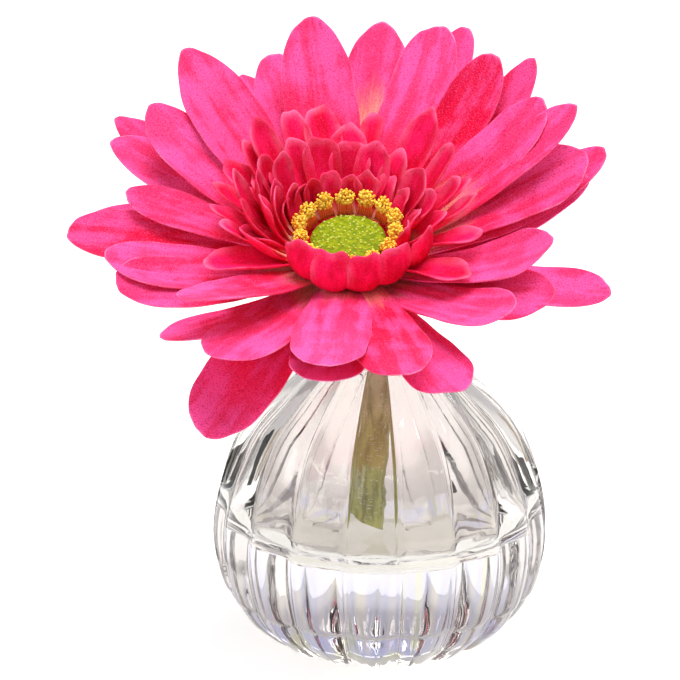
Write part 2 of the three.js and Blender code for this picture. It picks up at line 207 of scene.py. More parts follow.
def soft_box(name, place, width, height, power):
    """A rectangular light that faces the bloom."""
    data = bpy.data.lights.new(name, "AREA")
    data.shape = "RECTANGLE"
    data.size = width
    data.size_y = height
    data.energy = power
    lamp = bpy.data.objects.new(name, data)
    COLLECTION.objects.link(lamp)
    lamp.location = place
    lamp.rotation_euler = (CAMERA_TARGET - Vector(place)).to_track_quat("-Z", "Y").to_euler()


def show_to_glass_only(piece):
    """Staging that the camera, the shadows and matt surfaces don't see."""
    piece.visible_camera = False
    piece.visible_shadow = False
    piece.visible_diffuse = False


soft_box("key", (0.12, -0.15, 1.3), width=0.9, height=0.9, power=18.4)
soft_box("fill", (-0.7, -0.6, 0.6), width=0.5, height=0.5, power=1.5)
soft_box("back", (0.1, 0.9, 0.8), width=0.8, height=0.5, power=4)

# The tent's wall glows though it is no lamp: painted light for a lit white wall, dimmer higher up,
# seen only in the glass.
material, shade = new_material("glowing_tent_wall")
fading = shade.place().part("Z").between(0.0, TENT_FADE).mixed(TENT_LOW, TENT_HIGH)
finish_material(shade.node("Emission", {}, {"Color": fading, "Strength": TENT_STRENGTH}))
builder = bmesh.new()
bmesh.ops.create_circle(builder, segments=64, radius=TENT_RADIUS)
extruded = bmesh.ops.extrude_edge_only(builder, edges=builder.edges[:])
raised = [item for item in extruded["geom"] if isinstance(item, bmesh.types.BMVert)]
bmesh.ops.translate(builder, vec=(0, 0, TENT_HEIGHT), verts=raised)
glowing_wall = new_piece("glowing_tent_wall", builder, material)
show_to_glass_only(glowing_wall)

for i, (azimuth, distance, width, height, colour) in enumerate(CARDS):
    material, shade = new_material("card_%d" % i)
    finish_material(shade.node("BsdfPrincipled", {}, {
        "Base Color": rgba(colour), "Roughness": 0.9}))
    builder = bmesh.new()
    bmesh.ops.create_grid(builder, x_segments=1, y_segments=1, size=0.5)
    bmesh.ops.scale(builder, vec=(width * MM, height * MM, 1), verts=builder.verts)
    stand = Matrix.Rotation(math.radians(90), 4, "X")
    turn = Matrix.Rotation(math.radians(-azimuth), 4, "Z")
    move = Matrix.Translation((0, distance * MM, height / 2 * MM))
    bmesh.ops.transform(builder, matrix=turn @ move @ stand, verts=builder.verts)
    card = new_piece("card_%d" % i, builder, material, smooth=False)
    show_to_glass_only(card)


# ---------------------------------------------------------------------------------------------
# Vase: thick clear glass, pressed in a mould with rounded flutes, fire-polished at the mouth.
# The mould's two parts met near the foot, which left a fine line all the way round, and the
# lower hollow is rippled where the glass set first.

FLUTES = 18
FLUTE_DEPTH = 1.6
FLUTE_ROUNDING = 2.0
FLUTE_START = 6.5                  # degrees from the front to the first groove on the right
FOOT_SHARE = 0.5                   # how much deeper the grooves are at the foot
FOOT_REACH = 5
FOOT_RADIUS = 26.3
FLOOR_HEIGHT = 20
UNDERSIDE = ((0, 0), (14, 0), (25.6, 0))
OUTSIDE = (
    (26.3, 0), (28.8, 2), (32.9, 6), (36.1, 12), (37.9, 19), (38.4, 26), (37.2, 34), (34.4, 43),
    (30.4, 51), (23.7, 58), (17.8, 63), (14.6, 65.3), (13.8, 66), (12.6, 66.2), (11.6, 65.8))
HOLLOW = (
    (11.6, 65.8), (11.4, 64.8), (15.2, 61.8), (21.2, 57.2), (27.8, 50), (32, 42), (33.8, 34.5),
    (32.2, 28.5), (25.5, 24), (14, 20.8), (0, FLOOR_HEIGHT))
OUTSIDE_STEPS = 14                 # between one point of the section and the next
HOLLOW_STEPS = 10
SPIN_STEPS = FLUTES * 14
CLOSEST = 0.02                     # points of the section that are nearer than this are one
WALL_SLACK = 0.05                  # how far from the outside a point may be and still be on it
UNDERSIDE_SLACK = 0.01
SEAM_HEIGHT = 10.9
SEAM_STEP = 0.4
SEAM_WIDTH = 0.15
CHILL_DEPTH = 0.16
CHILL_PITCH = 3.2
CHILL_WANDER = 0.7
CHILL_REACH = 16
CHILL_WAVES = ((7, 0, 1), (17, 40, 0.6))    # waves round the hollow, their start and their share
RIPPLE_SCALE = 140.0
RIPPLE_DEPTH = 0.6 * MM
PATCH_SCALE = (90, 90, 12)
UNDERSIDE_FADE = (1.5, 5)          # heights between which one tint passes into the next
SEAM_FADE = (9.2, 11.2)
WALL_FADE = (22, 34)

# The glass is clear, and what tints it is slight: warm where the wall is thin, greyer in the thick
# base and the foot, partly as painted shade round the stem's foot and the bottom edge, and straw
# and lilac below the mould line.
WALL_TINT = (0.8, 0.775, 0.755, 1)
BASE_TINT_AND_SHADE = (0.56, 0.53, 0.51, 1)
UNDERSIDE_TINT_AND_SHADE = (0.64, 0.62, 0.55, 1)
STRAW_TINT = (0.62, 0.64, 0.4, 1)
LILAC_TINT = (0.56, 0.58, 0.86, 1)
PALE_TINT = (0.84, 0.8, 0.74, 1)
SHADOW_TINT = (0.93, 0.93, 0.92, 1)


def smooth_through(points, steps):
    """Catmull-Rom points through a half section of (radius, height) pairs."""
    ends = [points[0], *points, points[-1]]
    smooth = []
    for i in range(len(points) - 1):
        a, b, c, d = (Vector(p) for p in ends[i:i + 4])
        for k in range(steps):
            t = k / steps
            smooth.append(0.5 * (2 * b + (c - a) * t + (2 * a - 5 * b + 4 * c - d) * t * t
                                 + (3 * b - a - 3 * c + d) * t ** 3))
    return smooth + [Vector(points[-1])]


def spin_section(builder, points, steps):
    """Turns a chain of points once round the Z axis."""
    chain = [builder.verts.new(point) for point in points]
    edges = [builder.edges.new(pair) for pair in zip(chain, chain[1:])]
    bmesh.ops.spin(builder, geom=chain + edges, cent=(0, 0, 0), axis=(0, 0, 1),
                   angle=2 * math.pi, steps=steps, use_merge=True)


def close_poles(builder, distance):
    """Merges what the spin left double and turns every face outwards."""
    bmesh.ops.remove_doubles(builder, verts=builder.verts, dist=distance)
    bmesh.ops.recalc_face_normals(builder, faces=builder.faces)


def chill(turn, height):
    """How far a point of the hollow stands out, by its turn in degrees and its height."""
    wander = sum(share * math.sin(math.radians(waves * turn + start))
                 for waves, start, share in CHILL_WAVES)
    wave = math.sin(2 * math.pi * (height + CHILL_WANDER * wander) / CHILL_PITCH)
    return CHILL_DEPTH * wave * max(0, 1 - (height - FLOOR_HEIGHT) / CHILL_REACH)


def groove(turn, radius, height):
    """How far a point of the outside or the underside lies in from the plain turned form."""
    share = turn * FLUTES / 360
    from_crest = share - math.floor(share) - 0.5
    depth = FLUTE_DEPTH * min(1, radius / FOOT_RADIUS) * abs(2 * from_crest) ** FLUTE_ROUNDING
    depth *= 1 + FOOT_SHARE * math.exp(-height / FOOT_REACH)
    if height <= UNDERSIDE_SLACK:
        depth *= (radius / FOOT_RADIUS) ** 2
    return depth + SEAM_STEP / (1 + math.exp((height - SEAM_HEIGHT) / SEAM_WIDTH))


def stands_for(piece, node):
    """The piece rides on the only body and replaces its CAD node."""
    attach(piece, "root")
    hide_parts(node)


builder = bmesh.new()
outside = smooth_through(OUTSIDE, OUTSIDE_STEPS)
section = [Vector(point) for point in UNDERSIDE] + outside
section += smooth_through(HOLLOW, HOLLOW_STEPS)[1:]
section = [point for i, point in enumerate(section)
           if i == 0 or (point - section[i - 1]).length > CLOSEST]
spin_section(builder, [(0, -point.x * MM, point.y * MM) for point in section], SPIN_STEPS)
close_poles(builder, 1e-6)
for vert in builder.verts:
    radius = math.hypot(vert.co.x, vert.co.y) / MM
    if radius == 0:
        continue
    height = vert.co.z / MM
    turn = math.degrees(math.atan2(vert.co.y, vert.co.x)) + 90 - FLUTE_START
    on_outside = min((point - Vector((radius, height))).length for point in outside) < WALL_SLACK
    if on_outside or height <= UNDERSIDE_SLACK:
        vert.co.xy *= 1 - groove(turn, radius, height) / radius
    else:
        vert.co.xy *= 1 + chill(turn, height) / radius
bmesh.ops.recalc_face_normals(builder, faces=builder.faces)

material, shade = new_material("clear_glass")
place = shade.place()
ripple = place.noise(RIPPLE_SCALE, 2.0)
wavy = shade.node("Bump", {}, {
    "Height": ripple, "Strength": 0.12, "Distance": RIPPLE_DEPTH}, "Normal")
height = place.part("Z") * (1 / MM)
patches = place.node("Mapping", {}, {"Vector": place, "Scale": PATCH_SCALE}).noise(1.0, 1.0)
rainbow = patches.between(0.38, 0.47).mixed(STRAW_TINT, LILAC_TINT)
rainbow = patches.between(0.52, 0.62).mixed(rainbow, PALE_TINT)
# Painted shade: the base and the foot are tinted greyer than the wall.
deep = height.between(*SEAM_FADE).mixed(rainbow, BASE_TINT_AND_SHADE)
foot = height.between(*UNDERSIDE_FADE).mixed(UNDERSIDE_TINT_AND_SHADE, deep)
tint = height.between(*WALL_FADE).mixed(foot, WALL_TINT)
glass = shade.node("BsdfPrincipled", {}, {
    "Base Color": tint, "Roughness": 0.0, "IOR": 1.5, "Transmission Weight": 1.0,
    "Normal": wavy})
clear = shade.node("BsdfTransparent", {}, {"Color": SHADOW_TINT})
shadow_ray = shade.node("LightPath", {}, {}, "Is Shadow Ray")
finish_material(shade.node("MixShader", {}, {0: shadow_ray, 1: glass, 2: clear}))
vase = new_piece("vase_glass", builder, material)
stands_for(vase, "vase")


# ---------------------------------------------------------------------------------------------
# Stem: soft olive plastic over a wire, snipped at a slant at the bottom and bent forward at the
# top, where it runs into the bloom along the bloom's own axis.

# The bloom has a frame of its own: +Z along its axis, the origin where the large petals meet.
BLOOM_CENTRE = Vector((-8, -9, 91))
BLOOM_TILT = math.radians(21)
BLOOM_LEAN = math.radians(-2)
STEM_RADIUS = 2.3
STEM_CUT = Vector((-0.87, 0, 0.5))
STEM_ROUTE = (
    (-0.9, 0.8, 20.4), (-0.9, 0.8, 36), (-1.2, 0.4, 50), (-1.6, -0.4, 61), (-3.8, -2, 69.5))
STEM_IN_BLOOM = (-15, -12.6)       # heights in the bloom's frame
STEM_GREEN_END = (22, 34)          # heights between which the leaf green passes into olive
STEM_TAN_FROM = (45, 62)
STEM_GRAIN = (1500, 1500, 120)
STEM_GRAIN_DEPTH = 0.4 * MM
FLECK_SCALE = 2600.0

bloom_axis = Vector(
    (math.sin(BLOOM_LEAN), -math.sin(BLOOM_TILT), math.cos(BLOOM_TILT))).normalized()
bloom_right = (Vector((1, 0, 0)) - bloom_axis * bloom_axis.x).normalized()
bloom_back = bloom_axis.cross(bloom_right)
bloom_turn = Matrix((bloom_right, bloom_back, bloom_axis)).transposed().to_quaternion()
BLOOM = Matrix.LocRotScale(BLOOM_CENTRE * MM, bloom_turn, (MM, MM, MM))

curve = bpy.data.curves.new("stem_path", "CURVE")
curve.dimensions = "3D"
curve.bevel_depth = STEM_RADIUS * MM
curve.bevel_resolution = 6
curve.resolution_u = 12
curve.use_fill_caps = True
route = [Vector(point) * MM for point in STEM_ROUTE]
route += [BLOOM @ Vector((0, 0, height)) for height in STEM_IN_BLOOM]
spline = curve.splines.new("BEZIER")
spline.bezier_points.add(len(route) - 1)
for point, spot in zip(spline.bezier_points, route):
    point.co = spot
    point.handle_left_type = "AUTO"
    point.handle_right_type = "AUTO"
path = bpy.data.objects.new("stem_path", curve)
builder = bmesh.new()
builder.from_mesh(path.to_mesh())
bpy.data.objects.remove(path)
bmesh.ops.remove_doubles(builder, verts=builder.verts, dist=1e-6)
cut = bmesh.ops.bisect_plane(
    builder, geom=builder.verts[:] + builder.edges[:] + builder.faces[:], clear_inner=True,
    plane_co=route[0] - Vector((STEM_RADIUS, 0, 0)) * MM, plane_no=STEM_CUT)
rim = [item for item in cut["geom_cut"] if isinstance(item, bmesh.types.BMEdge)]
bmesh.ops.edgeloop_fill(builder, edges=rim)
bmesh.ops.recalc_face_normals(builder, faces=builder.faces)

material, shade = new_material("stem_plastic")
place = shade.place()
height = place.part("Z") * (1 / MM)
grain = place.node("Mapping", {}, {"Vector": place, "Scale": STEM_GRAIN}).noise(1.0, 4.0)
upper = height.between(*STEM_TAN_FROM).mixed(rgba("c6c872"), rgba("dcd0a8"))
tone = height.between(*STEM_GREEN_END).mixed(rgba("ccd268"), upper)
colour = grain.between(0.35, 0.75).mixed(tone, rgba("85863f"))
fleck = place.noise(FLECK_SCALE, 2.0).between(0.6, 0.68)
colour = (fleck * 0.6).mixed(colour, rgba("f2f2da"))
knobbly = shade.node("Bump", {}, {
    "Height": grain, "Strength": 0.5, "Distance": STEM_GRAIN_DEPTH}, "Normal")
finish_material(shade.node("BsdfPrincipled", {}, {
    "Base Color": colour, "Roughness": 0.28, "Normal": knobbly, "Subsurface Weight": 0.15,
    "Subsurface Radius": (0.002, 0.002, 0.001)}))
stem = new_piece("stem_coating", builder, material)
stands_for(stem, "stem")


# ---------------------------------------------------------------------------------------------
# Calyx: a moulded green cup that the stem plugs into, with a peg that the layers of petals are
# threaded on.

CALYX = ((0, -13), (2.8, -13), (3.1, -11.5), (3.4, -10), (4.8, -8.2), (6.4, -6.5), (7.7, -5),
         (8.5, -3.9), (8.1, -2.9), (1.5, -2.9), (1.5, 4.6), (0, 4.6))
TURNED_STEPS = 48
MOTTLE_DEPTH = 0.3 * MM

builder = bmesh.new()
spin_section(builder, [(0, -radius, height) for radius, height in CALYX], TURNED_STEPS)
close_poles(builder, 1e-3)
bmesh.ops.transform(builder, matrix=BLOOM, verts=builder.verts)

material, shade = new_material("calyx_plastic")
place = shade.place()
mottle = place.noise(260.0, 4.0)
colour = mottle.between(0.3, 0.7).mixed(rgba("5f7f2a"), rgba("86a044"))
veined = shade.node("Bump", {}, {
    "Height": mottle, "Strength": 0.4, "Distance": MOTTLE_DEPTH}, "Normal")
finish_material(shade.node("BsdfPrincipled", {}, {
    "Base Color": colour, "Roughness": 0.55, "Normal": veined}))
calyx = new_piece("calyx_cup", builder, material)
stands_for(calyx, "calyx")


# ---------------------------------------------------------------------------------------------
# Large petals: three layers of dyed polyester fabric, each die-cut in one piece round a pierced
# hub, then heat-pressed so that every petal has soft lengthwise pleats and its own curl.

PETAL_THICKNESS = 0.4
HUB_HOLE = 1.9
HUB_RADIUS = 5.4
HUB_OVERLAP = 1                    # how far a petal's root reaches into the hub
HUB_STEPS = 32
HUB_HEIGHTS = {"lower": -2.1, "middle": -0.8, "upper": 0.5}

# Azimuth, root lift, tip lift, length, width, sweep, roll and cup, as in the CAD.
LARGE_PETALS = {
    "upper": (
        (98, 16, 49, 57, 17, 0, 0, 15), (63, 16, 42, 58, 16, 3, 0, 15),
        (44, 14, 56, 55, 13, 0, 10, 15), (24, 15, 48, 53, 14, 0, 20, 15),
        (17, 16, 44, 58, 12, 0, 10, 10), (8, 15, 24, 54, 16, 4, 25, 15),
        (330, 8, 42, 54, 13, 0, 20, 20), (283, 13, 16, 58, 16.5, 0, 0, -10),
        (266, 15, 22, 56, 17, 0, 0, -10), (232, 18, 35, 56, 11, 0, 0, 20),
        (173, 15, 18, 47, 11, -5, -10, 15), (151, 15, 34, 53, 14, -5, -15, 15),
        (131, 16, 48, 58, 17, 0, -5, 12)),
    "middle": (
        (80, 11, 49, 58, 15, 0, 0, 12), (36, 12, 52, 60, 12, 0, 10, 15),
        (322, 12, 20, 55, 14, 0, 20, 10), (310, 8, 30, 55, 14, 0, 10, 20),
        (294, 4, 10, 56, 14.5, 0, 0, -10), (242, 8, 26, 55, 17, 0, 0, 10),
        (209, 12, 26, 54, 14, 0, -25, 10), (203, 12, 30, 55, 14, 0, -20, 10),
        (178, 12, 6, 58, 14, 0, -25, 10), (152, 12, 22, 57, 13, 0, -15, 10),
        (107, 12, 30, 56, 15, 0, 0, 10)),
    "lower": (
        (63, 8, 40, 65, 12, 0, 0, 10), (14, 6, 32, 60, 13, 0, 20, 15),
        (11, 4, 28, 54, 13, 0, 20, 10), (339, 8, 7, 58, 12, 0, 20, 10),
        (265, -1, 28, 53, 17, 0, 0, 10), (239, 6, -16, 56, 17, 0, -20, 10),
        (228, 8, 26, 56, 8, 0, 0, 10), (168, 4, 11, 54, 14, 0, -20, 10),
        (144, 6, 23, 62, 12, 0, -10, 10), (112, 7, 17, 60, 12, 0, 0, 10))}

# How the fabric is cut and pressed. tip: share of the length that the tip's curve takes.
# shoulder: where the petal is widest. root and taper: its width at the root, and what it loses
# at the tip, as shares. The others are heights in millimetres, and pleats is their number.
LARGE_SHAPE = {"columns": 20, "rows": 28, "tip": 0.22, "lobe": 0.35, "shoulder": 0.66,
               "root": 0.34, "taper": 0.2, "pleats": 4.0, "pleat": 0.9, "dish": 0.3,
               "wave": 1.0, "droop": 1.5}
LOBE_WAVES = ((5, 1), (15, 0.5))   # waves across the tip, and their share
LOBE_REACH = 6                     # the higher, the nearer the lobes keep to the tip
EDGE_WAVES = ((9, 0.03), (31, 0.014))    # waves along the edge, and their share of the width
SHOULDER_FULLNESS = 1.25
PRESS_REACH = 1.1                  # where along the petal its pleats and dish fade out
PRESS_FULLNESS = 0.7
WAVES_ALONG = 7
WAVE_SKEW = 2
TIP_FOLD = 0.9
PLEAT_DRIFT = 0.3                  # no two petals are cut or pressed quite alike
TIP_VARIES = (0.8, 1.25)
PAINTED_SHADE_PETALS = (168, 178, 44, 36, 283)     # azimuths of the petals painted deeper: painted shade, as for 168 and 178 under 173
BARE_ROOT = 0.24                   # undyed share of a petal's length, but further on these
LONG_BARE_ROOTS = {80: 0.66, 24: 0.44, 17: 0.42, 36: 0.4, 8: 0.4, 283: 0.3}


def dye_marks(builder):
    """The layers that tell the dye where it is: along, across and from the edge, which petal,
    and how far that petal's bare root reaches."""
    layers = builder.verts.layers
    return (layers.float_vector.new("petal"), layers.float.new("petal_tone"),
            layers.float.new("petal_bare"))


def half_width(along, width, shape, phases):
    """Half the petal's width at a share of its length, with its wavy edge."""
    peak = shape["shoulder"]
    if along < peak:
        growth = math.sin(math.pi / 2 * along / peak) ** SHOULDER_FULLNESS
        plain = shape["root"] + (1 - shape["root"]) * growth
    else:
        plain = 1 - shape["taper"] * ((along - peak) / (1 - peak)) ** 2
    wavy = sum(share * math.sin(waves * along + phase)
               for (waves, share), phase in zip(EDGE_WAVES, phases))
    return plain * width / 2 * (1 + wavy)


def add_petal(builder, marks, values, bare, root, shape, dice):
    """One petal as a single sheet in the bloom's frame, marked for the dye."""
    azimuth, root_lift, tip_lift, length, width, sweep, roll, cup = values
    bow = shape.get("bow", 1)          # share of the length that takes all the curl
    start = math.radians(root_lift)
    curl = math.radians(tip_lift - root_lift) or 1e-4
    turn_radius = length * bow / curl
    cup_angle = math.radians(cup) or 1e-4
    base = math.radians(azimuth)
    outwards = Vector((math.cos(base), math.sin(base), 0))
    sideways = Vector((-math.sin(base), math.cos(base), 0))
    lobes, ruffle, flutter = (dice.uniform(0, 2 * math.pi) for _ in range(3))
    drift = dice.uniform(-PLEAT_DRIFT, PLEAT_DRIFT)
    droop = dice.uniform(-1, 1) * shape["droop"]
    tip = shape["tip"] * dice.uniform(*TIP_VARIES)
    # Painted shade: the petals that lie in shade start half a tone deeper; the rest of the tone is
    # random.
    tone = dice.random() * 0.5 + (0 if azimuth in PAINTED_SHADE_PETALS else 0.5)
    grid = bmesh.ops.create_grid(
        builder, x_segments=shape["columns"], y_segments=shape["rows"], size=1)
    for vert in grid["verts"]:
        # The cut outline: across from -1 to 1, and along from 0 at the root to 1 at the tip.
        across = -math.sin(math.pi / 2 * vert.co.x)
        row = (vert.co.y + 1) / 2
        rounding = tip * (1 - math.sqrt(max(0, 1 - across ** 2)))
        lobe = sum(share * math.sin(waves * across + phase)
                   for (waves, share), phase in zip(LOBE_WAVES, (lobes, flutter)))
        along = row * (1 - rounding) + shape["lobe"] * lobe * row ** LOBE_REACH / length
        half = half_width(along, width, shape, (ruffle, lobes))

        # The midline, which curls up, runs straight past the bow, and sweeps to one side.
        bent = min(along, bow)
        straight = length * (along - bent)
        pitch = start + curl * bent / bow
        out = turn_radius * (math.sin(pitch) - math.sin(start)) + straight * math.cos(pitch)
        up = turn_radius * (math.cos(start) - math.cos(pitch)) + straight * math.sin(pitch)
        bend = math.radians(sweep) * along
        heading = base + 2 * bend
        centre = outwards * (root[0] + out * math.cos(bend)) + sideways * (out * math.sin(bend))
        centre.z = root[1] + up

        # The sheet's own directions there, rolled about the midline.
        flat = Vector((math.cos(heading), math.sin(heading), 0))
        tangent = flat * math.cos(pitch) + Vector((0, 0, math.sin(pitch)))
        level = Vector((-math.sin(heading), math.cos(heading), 0))
        normal = tangent.cross(level)
        turn = math.radians(roll) * along
        side = level * math.cos(turn) + normal * math.sin(turn)
        face = normal * math.cos(turn) - level * math.sin(turn)

        # The pressed relief, and the cup from edge to edge.
        crown = 1 - across ** 2
        pleat = abs(math.sin(math.pi / 2 * shape["pleats"] * (across + drift))) * crown
        press = math.sin(math.pi * min(1, along * PRESS_REACH)) ** PRESS_FULLNESS
        wave = math.sin(WAVES_ALONG * along + ruffle + WAVE_SKEW * across) * across ** 2 * along
        lift = (shape["pleat"] * pleat - shape["dish"] * crown) * press
        lift += shape["wave"] * wave + droop * along ** 4
        angle = cup_angle * across
        side_shift = half * math.sin(angle) / cup_angle
        face_shift = half * (1 - math.cos(angle)) / cup_angle + lift
        vert.co = centre + side * side_shift + face * face_shift

        rim = min((1 - abs(across)) * half, (1 - row) * length * TIP_FOLD)
        for mark, value in zip(marks, (Vector((along, across * half, rim)), tone, bare)):
            vert[mark] = value


def cloth_piece(name, builder, material):
    """Gives a sheet its thickness and rounds it off."""
    piece = new_piece(name, builder, material)
    thick = piece.modifiers.new("thickness", "SOLIDIFY")
    thick.thickness = PETAL_THICKNESS * MM
    thick.offset = 0
    fine = piece.modifiers.new("rounding", "SUBSURF")
    fine.levels = fine.render_levels = 1
    return piece


def fabric(name, deep, pale, rim_width, rim_share, speckle, gloss):
    """Dyed woven fabric under painted shade and light, undyed at the roots and paler along the cut
    edges.
    """
    material, shade = new_material(name)
    place = shade.place()
    facts = shade.node("Attribute", {"attribute_name": "petal"}, {}, "Vector")
    tone = shade.node("Attribute", {"attribute_name": "petal_tone"}, {}, "Fac")
    bare = shade.node("Attribute", {"attribute_name": "petal_bare"}, {}, "Fac")
    along = facts.part("X")
    across = facts.part("Y")
    rim = facts.part("Z")

    def streaks(length, width):
        """Noise drawn out along the petal, and different on each."""
        cloth = shade.node("CombineXYZ", {}, {
            "X": along * length, "Y": across * width, "Z": tone * 40.0})
        return cloth.noise(1.0, 2.0)

    pleats = streaks(2.0, 0.28)
    veins = streaks(7.0, 1.1)
    weave = place.noise(3400.0, 1.0)
    blotch = place.noise(150.0, 3.0)

    # Dye with painted shade and light: deep at the root, where the petals shade one another, and
    # paler towards the tip, in streaks like lit and shaded folds, and paler on some petals, deeper
    # on shaded ones.
    dye_and_painted_light = (pleats * 0.5 + veins * 0.15 + blotch * 0.35).between(0.42, 0.58) * 0.65
    dye_and_painted_light = dye_and_painted_light + (tone - 0.6) * 0.5 + along.between(0.3, 0.95) * 0.35
    dye = dye_and_painted_light.mixed(rgba(deep), rgba(pale))

    # The bare root runs from cream through salmon into the dye, with a ragged front.
    reach = along - bare + (veins - 0.5) * 0.2 + (across * across) * 0.004
    undyed = reach.between(-0.3, 0.0).mixed(rgba("ffe9cc"), rgba("ffa894"))
    dye = reach.between(-0.1, 0.14).mixed(undyed, dye)

    # Pale cut edges: faded, and where the rims are wide a painted highlight. Single threads took
    # less dye or more.
    faded_and_lit_edge = rim.between(rim_width, 0.0) * along.between(0.3, 0.95)
    faded_and_lit_edge = faded_and_lit_edge * (blotch.between(0.4, 0.6) * 0.7 + 0.3)
    dye = (faded_and_lit_edge * rim_share).mixed(dye, rgba("ff8cb8"))
    dye = (weave.between(0.52, 0.72) * speckle).mixed(dye, rgba("ff86b4"))
    dye = (weave.between(0.46, 0.32) * speckle * 2.5).mixed(dye, rgba("b00c4c"))

    relief = weave * 0.35 + veins + pleats
    woven = shade.node("Bump", {}, {
        "Height": relief, "Strength": 0.35, "Distance": PETAL_THICKNESS * MM}, "Normal")
    finish_material(shade.node("BsdfPrincipled", {}, {
        "Base Color": dye, "Roughness": 0.75, "Specular IOR Level": gloss, "Normal": woven,
        "Sheen Weight": gloss / 2, "Sheen Roughness": 0.4, "Sheen Tint": (1, 0.5, 0.7, 1)}))
    return material


# deep is the colour in painted shade, and pale is the colour in painted light.
large_fabric = fabric("pink_fabric", deep="e8003e", pale="f854a0", rim_width=0.3,
                      rim_share=0.6, speckle=0.24, gloss=0.12)
dice = random.Random(11)
for layer, petals in LARGE_PETALS.items():
    builder = bmesh.new()
    marks = dye_marks(builder)
    height = HUB_HEIGHTS[layer]
    spin_section(builder, ((HUB_HOLE, 0, height), (HUB_RADIUS, 0, height)), HUB_STEPS)
    for values in petals:
        bare = LONG_BARE_ROOTS.get(values[0], BARE_ROOT)
        root = (HUB_RADIUS - HUB_OVERLAP, height)
        add_petal(builder, marks, values, bare, root, LARGE_SHAPE, dice)
    bmesh.ops.transform(builder, matrix=BLOOM, verts=builder.verts)
    piece = cloth_piece("large_petals_" + layer, builder, large_fabric)
    stands_for(piece, "ray_petals_" + layer)


# ---------------------------------------------------------------------------------------------
# Short petals: three more rings of the same fabric, cut smaller, dyed deeper and made deeper still
# with painted shade, and pressed into cups, which stand up round the centre. The five in front
# curl up close before the seed dome.

SHORT_HUB = ((1.9, 3), (8, 3.2), (12.4, 4.6))
SHORT_HUB_MARK = (0.5, 0, 9)       # dyed right through, with no cut edge in sight
# Azimuth, root lift, tip lift, length and width of each petal, from the outer ring inwards.
OUTER_RING = (
    (113, 36, 40, 26, 7), (100, 36, 42, 26, 9), (87, 36, 42, 21, 9), (77, 36, 31, 25, 6),
    (48, 36, 56, 28, 9), (28, 36, 51, 24, 7), (5, 36, 54, 22, 6), (350, 36, 46, 25, 5),
    (338, 36, 15, 24, 6), (319, 23, 12, 26, 8), (213, 31, 8, 26, 10), (204, 36, 51, 24, 6),
    (190, 36, 47, 24, 6), (172, 36, 45, 23, 7), (154, 36, 40, 23, 9), (143, 36, 53, 24, 6),
    (133, 36, 58, 27, 8), (166, 40, 84, 20, 7), (149, 40, 87, 20, 7), (178, 36, 81, 25, 7),
    (196, 36, 78, 22, 6), (10, 40, 39, 22, 6), (208, 30, 62, 20, 7))
MIDDLE_RING = (
    (140, 50, 57, 17, 7), (122, 50, 61, 20, 7), (106, 50, 64, 18.5, 9.5), (85, 50, 63, 17, 10),
    (67, 50, 65, 17.5, 9), (50, 50, 63, 17.5, 7), (22, 50, 63, 17.5, 9), (0, 50, 51, 17, 8),
    (345, 40, 50, 17.5, 8), (197, 50, 26, 17, 6), (188, 50, 82, 18, 7), (160, 50, 29, 17, 6),
    (150, 50, 40, 17, 6), (143, 50, 84, 20, 7), (162, 50, 82, 16, 6), (174, 50, 104, 16, 7),
    (152, 60, 95, 13, 7), (350, 60, 63, 13, 5))
INNER_RING = (
    (165, 60, 95, 10, 5.5), (148, 60, 45, 9.5, 5.5), (137, 60, 95, 10, 5.5),
    (122, 60, 98, 10, 5.5), (102, 60, 82, 9.5, 5.5), (83, 60, 88, 9, 5.5), (68, 60, 82, 10, 6),
    (51, 60, 70, 10, 6), (28, 60, 75, 10, 5.5), (0, 60, 50, 9.5, 5.5), (338, 52, 80, 10, 5.5))
FRONT_CUPS = (
    (326, -5, 80, 19, 8.6), (303, -15, 91, 19, 9), (284, -20, 98, 18.8, 9),
    (262, -15, 98, 18.6, 9.8), (241, 8, 94, 17, 10))
# Radius and height of the roots.
OUTER_ROOT = (11.5, 4.2)
MIDDLE_ROOT = (10.8, 4.0)
INNER_ROOT = (11.8, 4.6)
FRONT_ROOT = (12, 4.4)
SHORT_CUP = 34
SHORT_SHAPE = {"columns": 10, "rows": 16, "tip": 0.25, "lobe": 0.5, "shoulder": 0.7,
               "root": 0.42, "taper": 0.12, "pleats": 1.5, "pleat": 0.3, "dish": 0.8,
               "wave": 0.8, "droop": 1.4}
FRONT_SHAPE = {**SHORT_SHAPE, "tip": 0.16, "lobe": 0.6, "root": 0.8, "taper": 0.06,
               "dish": 0.6, "wave": 0.6, "bow": 0.72}
SHORT_BARE_ROOTS = (0.08, 0.16, 0.16, 0.352)    # drawn at random
DYED_ROOT = -0.32                  # the inner ring took dye down to the hub

# deep is the colour in painted shade inside the cups, pale in painted light; the wide rims are
# partly a painted highlight.
short_fabric = fabric("short_petal_fabric", deep="d0001c", pale="ff1c64", rim_width=2.4,
                      rim_share=0.5, speckle=0.12, gloss=0.03)
builder = bmesh.new()
marks = dye_marks(builder)
spin_section(builder, [(radius, 0, height) for radius, height in SHORT_HUB], TURNED_STEPS)
for vert in builder.verts:
    vert[marks[0]] = SHORT_HUB_MARK


def add_short_petal(values, bare, root, shape):
    """One petal of a ring, which has no sweep and no roll."""
    add_petal(builder, marks, (*values, 0, 0, SHORT_CUP), bare, root, shape, dice)


